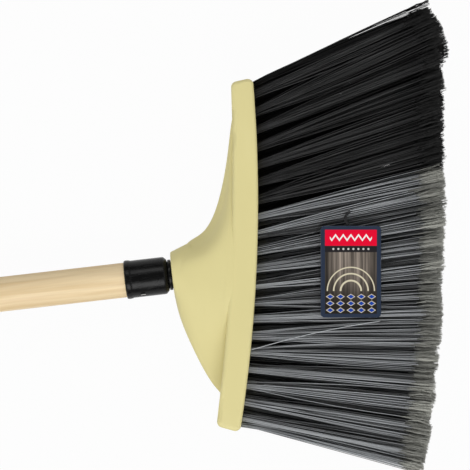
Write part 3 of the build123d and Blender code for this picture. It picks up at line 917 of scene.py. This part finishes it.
class BROOM_OT_stage(Operator):
    """Adds the camera, the lamps, the sky and the floor"""

    bl_idname = "broom.stage"
    bl_label = "Stage"

    def execute(self, context):
        stage = context.scene.broom_stage
        context.scene.view_settings.view_transform = "Standard"
        view = bpy.data.cameras.new("camera")
        view.sensor_width = 36.0
        view.lens = view.sensor_width * stage.distance / stage.width
        view.clip_end = 100.0
        place = (stage.centre_x, stage.centre_y, stage.level + stage.distance)
        context.scene.camera = add_object("camera", view, place, (0, 0, stage.roll))
        self.add_lamp(stage, "key", stage.key, stage.key_width, -1)
        self.add_lamp(stage, "fill", stage.fill, stage.fill_width, 1)
        self.add_sky(context, stage)
        self.add_floor(stage)
        return {"FINISHED"}

    def add_lamp(self, stage, name, watts, width, side):
        """Wide soft lamp that leans to one side of straight above."""
        light = bpy.data.lights.new(name, "AREA")
        light.shape = "RECTANGLE"
        light.size = stage.lamp_length
        light.size_y = width
        light.energy = watts
        lean, far = stage.lamp_angle, stage.lamp_distance
        place = (0.0, side * sin(lean) * far, cos(lean) * far)
        add_object(name, light, place, (-side * lean, 0, 0))

    def add_sky(self, context, stage):
        """Even light with more of it from both ends of the handle."""
        world = bpy.data.worlds.new("sky")
        sky = Paint(world)
        x, _, _ = sky.split(sky.node("ShaderNodeTexCoord", {}, {}, "Generated"))
        strength = stage.sky + stage.ends * abs(x).rise(*SKY_ENDS)
        light = sky.node("ShaderNodeBackground", {}, {"Color": (1, 1, 1), "Strength": strength})
        sky.node("ShaderNodeOutputWorld", {}, {"Surface": light})
        context.scene.world = world

    def add_floor(self, stage):
        """White floor just under the broom, most of which shows as plain white."""
        paint = new_paint("floor_white")
        rays = paint.node("ShaderNodeLightPath", {}, {}).socket.node.outputs
        camera, glossy, clear = (Value(paint, rays[f"Is {kind} Ray"]) for kind in SEEN_RAYS)
        seen = camera.most(glossy).most(clear)
        matt = paint.node("ShaderNodeBsdfDiffuse", {}, {"Color": FLOOR_COLOUR})
        glow = paint.node("ShaderNodeEmission", {}, {"Color": (1, 1, 1), "Strength": 1.0})
        mixed = paint.node("ShaderNodeMixShader", {}, {0: stage.white * seen, 1: matt, 2: glow})
        paint.node("ShaderNodeOutputMaterial", {}, {"Surface": mixed})
        corners = FLOOR_HALF * np.array([(-1.0, -1.0, 0), (1, -1, 0), (1, 1, 0), (-1, 1, 0)])
        corners[:, 2] = FLOOR_LEVEL
        floor = add_piece("floor", corners, [np.array([[0, 1, 2, 3]])], paint.owner, smooth=False)


class BROOM_OT_string(Operator):
    """Adds the tag's twisted string along its route"""

    bl_idname = "broom.string"
    bl_label = "Tag string"

    def execute(self, context):
        """The route is turned and moved with the tag, and lies just under the card."""
        tag = context.scene.broom_tag
        level = TAG_LOW.z - STRING_GAP - tag.string_diameter / 2
        c, s = cos(TAG_TURN), sin(TAG_TURN)
        x, y, z = np.array(STRING_ROUTE).T
        along, across = TAG_CENTRE[0] + c * x - s * y, TAG_CENTRE[1] + s * x + c * y
        route = np.stack([along * MM, across * MM, level + z * MM], -1).tolist()
        line = self.smooth_line(route)
        piece = self.twisted(tag, line)
        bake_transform(piece)
        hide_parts("tag_string")
        return {"FINISHED"}

    def smooth_line(self, route):
        """Points read from the NURBS spline that has the route as its control points."""
        curve = bpy.data.curves.new("string_line", "CURVE")
        curve.dimensions = "3D"
        curve.resolution_u = 12
        spline = curve.splines.new("NURBS")
        spline.points.add(len(route) - 1)
        spline.points.foreach_set("co", [value for point in route for value in (*point, 1)])
        spline.order_u = 3
        spline.use_endpoint_u = True
        holder = bpy.data.objects.new("string_line", curve)
        mesh = bpy.data.meshes.new_from_object(holder)
        line = np.zeros(len(mesh.vertices) * 3)
        mesh.vertices.foreach_get("co", line)
        bpy.data.meshes.remove(mesh)
        bpy.data.objects.remove(holder)
        bpy.data.curves.remove(curve)
        return line.reshape(-1, 3)

    def twisted(self, tag, line):
        """Two strands that wind round the line, half a turn apart, each a closed tube.

        A strand's centre lies off the line by a share of the string's diameter, at an angle that grows by
        a whole turn for each lay.
        """
        step = np.linalg.norm(np.diff(line, axis=0), axis=1)
        reach = np.concatenate([[0], np.cumsum(step)])
        fine = np.linspace(0, reach[-1], STRING_RINGS)
        centre = np.stack([np.interp(fine, reach, line[:, axis]) for axis in range(3)], -1)
        run = unit(np.gradient(centre, axis=0))
        across = unit(np.cross(run, STRING_UP))
        over = np.cross(across, run)
        wind = (2 * pi * fine / tag.lay + np.array([[0], [pi]]))[..., None]
        offset = tag.string_diameter * STRAND_OFFSET
        centres = centre + offset * (np.cos(wind) * across + np.sin(wind) * over)
        radii = np.full(centres.shape[:2], tag.string_diameter / 2 - offset)
        points = strand_points(centres, radii, STRING_SIDES, up=STRING_UP)
        paint = string_paint("dark_string", tag.string)
        piece = add_piece("tag_string_strands", points, strand_faces(2, STRING_RINGS, STRING_SIDES), paint)
        carry(piece, "around", np.tile(np.arange(STRING_SIDES) / STRING_SIDES, 2 * STRING_RINGS))
        carry(piece, "along", np.tile(np.repeat(fine / tag.lay, STRING_SIDES), 2))
        return piece


class BROOM_OT_head(Operator):
    """Finishes the moulded head and the wire anchors in it"""

    bl_idname = "broom.head"
    bl_label = "Head"

    def execute(self, context):
        head = context.scene.broom_head
        handle = context.scene.broom_handle
        finish_nodes(plastic_paint("pale_plastic", head.colour), "head_plastic", "head_block")
        finish_nodes(steel_paint("anchor_wire", handle.steel), "anchor_wire", "tuft_anchors")
        return {"FINISHED"}


class BROOM_OT_bristles(Operator):
    """Adds the grey and black bristles, row by row"""

    bl_idname = "broom.bristles"
    bl_label = "Bristles"

    def execute(self, context):
        head = context.scene.broom_head
        bristle = context.scene.broom_bristle
        finishes = {}
        for name, (colour, shine, lift) in BRISTLE_FINISHES.items():
            shaft, ends = getattr(bristle, colour), getattr(bristle, f"{colour}_split")
            finishes[name] = bristle_paint(name, shaft, ends, shine, lift)
        for row in range(ROWS):
            height = AXIS_Z + (row - (ROWS - 1) / 2) * bristle.row_pitch
            places = row_tufts(head, bristle, row)
            black = places >= bristle.black_from
            # The inner rows take the shaded copies of the finishes, which paint shade
            kind = "bristle" if row in (0, ROWS - 1) else "bristle_inner"
            for colour, chosen in (("grey", places[~black]), ("black", places[black])):
                draw = np.random.default_rng((bristle.seed, row, len(chosen)))
                name = f"{colour}_bristles_row_{row + 1}"
                finish = finishes[f"{colour}_{kind}"]
                piece = bristle_row(head, bristle, name, row, chosen, height, finish, draw)
                bend(piece)
                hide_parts(f"{colour}_tufts_row_{row + 1}")
        return {"FINISHED"}


class BROOM_OT_stray(Operator):
    """Adds the one loose bristle that lies across the grey ones"""

    bl_idname = "broom.stray"
    bl_label = "Loose bristle"

    def execute(self, context):
        """One tube: at the share t it is t of the way from root to tip, with a sideways bow of sin(pi t).

        Its height goes from root to tip with the root of t (2 - t) instead.
        """
        bristle = context.scene.broom_bristle
        root, tip = np.array(STRAY_ROOT) * MM, np.array(STRAY_TIP) * MM
        t = np.linspace(0, 1, STRAY_RINGS)
        centres = root + (tip - root) * t[:, None]
        centres[:, 2] = root[2] + (tip[2] - root[2]) * (1 - (1 - t) ** 2) ** 0.5
        centres[:, 1] += STRAY_BOW * MM * np.sin(pi * t)
        radii = np.full((1, STRAY_RINGS), STRAY_SIZE * bristle.radius)
        points = strand_points(centres[None], radii, STRAY_SIDES)
        finish = context.scene.objects[f"grey_bristles_row_{ROWS}"].active_material
        piece = add_piece("loose_bristle", points, strand_faces(1, STRAY_RINGS, STRAY_SIDES), finish)
        carry(piece, "shade", np.full(len(points), STRAY_SHADE))
        carry(piece, "along", np.repeat(t, STRAY_SIDES))
        carry(piece, "split", np.zeros(len(points)))
        bend(piece)
        return {"FINISHED"}


class BROOM_OT_handle(Operator):
    """Finishes the stick and the nails"""

    bl_idname = "broom.handle"
    bl_label = "Handle"

    def execute(self, context):
        handle = context.scene.broom_handle
        finish_nodes(pine_paint("pine", handle.pine_early, handle.pine_late), "pine", "handle_stick")
        for name, bare_length in NAIL_LINES.items():
            low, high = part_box(name)
            paint = nail_paint(name, handle.steel, handle.black, (low.x + high.x) / 2, bare_length)
            finish_nodes(paint, "nail_steel", name)
        return {"FINISHED"}


class BROOM_OT_ferrule(Operator):
    """Adds the threaded ferrule and the ring of thread at its neck"""

    bl_idname = "broom.ferrule"
    bl_label = "Ferrule"

    def execute(self, context):
        handle = context.scene.broom_handle
        black = black_paint("black_plastic", handle.black)
        fit_black(self.sleeve(handle, black), "handle", "ferrule")
        fit_black(self.ring(handle, black), "thread", "neck_ring")
        return {"FINISHED"}

    def sleeve(self, handle, material):
        """A profile turned about the handle; along the plug the radius also has a ridge that winds round.

        The ridge is a smooth hump of the fraction of (distance over pitch less turn), so it moves one
        pitch along for each turn.
        """
        start, end = FERRULE_LOW.x, FERRULE_HIGH.x
        lip = (FERRULE_HIGH.z - FERRULE_LOW.z) / 2
        body = lip - handle.lip_height
        bore = (STICK_HIGH.z - STICK_LOW.z) / 2
        core = handle.crest_radius - handle.thread_depth
        front = start + handle.sleeve_length
        floor = STICK_HIGH.x
        corners = [
            (floor, 0),
            (floor, bore),
            (start, bore),
            (start, lip),
            (start + handle.lip_length, lip),
            (start + handle.lip_length + 2 * handle.lip_height, body),
            (front - handle.shoulder, body),
            (front, body - handle.shoulder),
            (front, core),
            (end, core),
            (end, 0),
        ]
        x, radius = resampled(rounded(corners, np.array(FERRULE_ROUNDS) * MM), FERRULE_STEP).T
        wound = np.mod((x[:, None] - RING_HIGH.x) / handle.pitch - np.arange(TURNED_SIDES) / TURNED_SIDES, 1)
        ridge = rise(wound, *RIDGE_UP) * (1 - rise(wound, *RIDGE_DOWN))
        begun = rise(x, RING_HIGH.x, RING_HIGH.x + handle.pitch)
        threaded = begun * (1 - rise(x, end - THREAD_ENDS[0], end - THREAD_ENDS[1]))
        threaded = threaded * (np.abs(radius - core) < CORE_SLACK)
        swept = radius[:, None] + handle.thread_depth * ridge * threaded[:, None]
        return add_piece("ferrule_sleeve", *turned_solid(x, swept), material)

    def ring(self, handle, material):
        """A squared oval turned about the handle, as wide as the CAD ring and as high as the thread."""
        low, high = RING_LOW.x, RING_HIGH.x
        inner = handle.crest_radius - handle.thread_depth
        oval = squared_oval(OVAL_POINTS, RING_POWER)
        x = (low + high) / 2 + oval[:, 0] * (high - low) / 2
        radius = (inner + handle.crest_radius) / 2 + oval[:, 1] * handle.thread_depth / 2
        points = turned_rings(x, radius[:, None] + np.zeros(TURNED_SIDES)).reshape(-1, 3)
        quads = grid_quads(OVAL_POINTS, TURNED_SIDES, closed=True)
        return add_piece("neck_collar", points, [quads], material)


class BROOM_OT_hang_cap(Operator):
    """Adds the cap with its hanging loop"""

    bl_idname = "broom.hang_cap"
    bl_label = "Hang cap"

    def execute(self, context):
        handle = context.scene.broom_handle
        cup_points, cup_faces = self.cup(handle)
        loop_points, loop_faces = self.loop(handle)
        faces = cup_faces + [rows + len(cup_points) for rows in loop_faces]
        points = np.concatenate([cup_points, loop_points])
        piece = add_piece("hang_cap_loop", points, faces, black_paint("black_cap_plastic", handle.black))
        fit_black(piece, "handle", "hang_cap")
        return {"FINISHED"}

    def cup(self, handle):
        """A cup turned about the handle, open towards the stick."""
        start = CAP_HIGH.x
        end = start - handle.cap_length
        outer = (CAP_HIGH.z - CAP_LOW.z) / 2
        bore = (STICK_HIGH.z - STICK_LOW.z) / 2
        floor = end + handle.cap_floor
        corners = [(end, 0), (end, outer), (start, outer), (start, bore), (floor, bore), (floor, 0)]
        x, radius = resampled(rounded(corners, np.array(CAP_ROUNDS) * MM), CAP_STEP).T
        return turned_solid(x, radius[:, None] + np.zeros(TURNED_SIDES))

    def loop(self, handle):
        """A rounded strap carried along two arms and a half circle between them.

        Each cross-section is a squared oval. Its inner half grows with the sine along the half circle, and
        near the cup by the rise of a circle of the corner's radius, so the opening has round corners there.
        """
        half_floor = handle.cap_floor / 2
        half_arm = handle.loop_arm / 2
        outer = (CAP_HIGH.y - CAP_LOW.y) / 2
        seat = CAP_HIGH.x - handle.cap_length + half_floor
        centre = CAP_LOW.x + outer
        arm = outer - half_arm
        straight = np.linspace(seat, centre, ARM_POINTS)
        level = 0 * straight
        turn = np.linspace(0, pi, TURN_POINTS)[1:-1]
        x = np.concatenate([straight, centre - arm * np.sin(turn), straight[::-1]])
        y = np.concatenate([level + arm, arm * np.cos(turn), level - arm])
        out_x = np.concatenate([level, -np.sin(turn), level])
        out_y = np.concatenate([level + 1, np.cos(turn), level - 1])
        reach = np.clip(handle.loop_corner - (seat - half_floor - x), 0, handle.loop_corner)
        flare = handle.loop_corner - np.sqrt(handle.loop_corner**2 - reach**2)
        thick = half_arm - out_x * (handle.loop_tip - handle.loop_arm)
        wide, high = squared_oval(OVAL_POINTS, LOOP_POWER).T
        offset = wide * (half_arm + (wide < 0) * (thick - half_arm + flare)[:, None])
        grid = [
            x[:, None] + out_x[:, None] * offset,
            y[:, None] + out_y[:, None] * offset,
            AXIS_Z + high * handle.loop_width / 2 + 0 * offset,
        ]
        return np.stack(grid, -1).reshape(-1, 3), strand_faces(1, len(x), OVAL_POINTS)


class BROOM_OT_tag(Operator):
    """Finishes the printed card"""

    bl_idname = "broom.tag"
    bl_label = "Tag"

    def execute(self, context):
        tag = context.scene.broom_tag
        finish_nodes(card_paint("printed_card", tag), "printed_card", "tag_card")
        return {"FINISHED"}


class BROOM_PT_panel(Panel):
    """Lists the broom's steps"""

    bl_idname = "BROOM_PT_panel"
    bl_label = "Angled Broom"
    bl_space_type = "VIEW_3D"
    bl_region_type = "UI"
    bl_category = "Broom"

    def draw(self, context):
        for step in STEPS:
            self.layout.operator(step.bl_idname)


SETTINGS = {
    "broom_stage": BroomStageSettings,
    "broom_head": BroomHeadSettings,
    "broom_bristle": BroomBristleSettings,
    "broom_handle": BroomHandleSettings,
    "broom_tag": BroomTagSettings,
}
STEPS = (
    BROOM_OT_stage,
    BROOM_OT_string,
    BROOM_OT_head,
    BROOM_OT_bristles,
    BROOM_OT_stray,
    BROOM_OT_handle,
    BROOM_OT_ferrule,
    BROOM_OT_hang_cap,
    BROOM_OT_tag,
)


def register():
    for kind in (*SETTINGS.values(), *STEPS, BROOM_PT_panel):
        bpy.utils.register_class(kind)
    for name, kind in SETTINGS.items():
        setattr(bpy.types.Scene, name, PointerProperty(type=kind))


def unregister():
    for name in SETTINGS:
        delattr(bpy.types.Scene, name)
    for kind in (BROOM_PT_panel, *reversed(STEPS), *reversed(SETTINGS.values())):
        bpy.utils.unregister_class(kind)


def main():
    register()
    for step in STEPS:
        group, name = step.bl_idname.split(".")
        getattr(getattr(bpy.ops, group), name)()


if __name__ == "__main__":
    main()
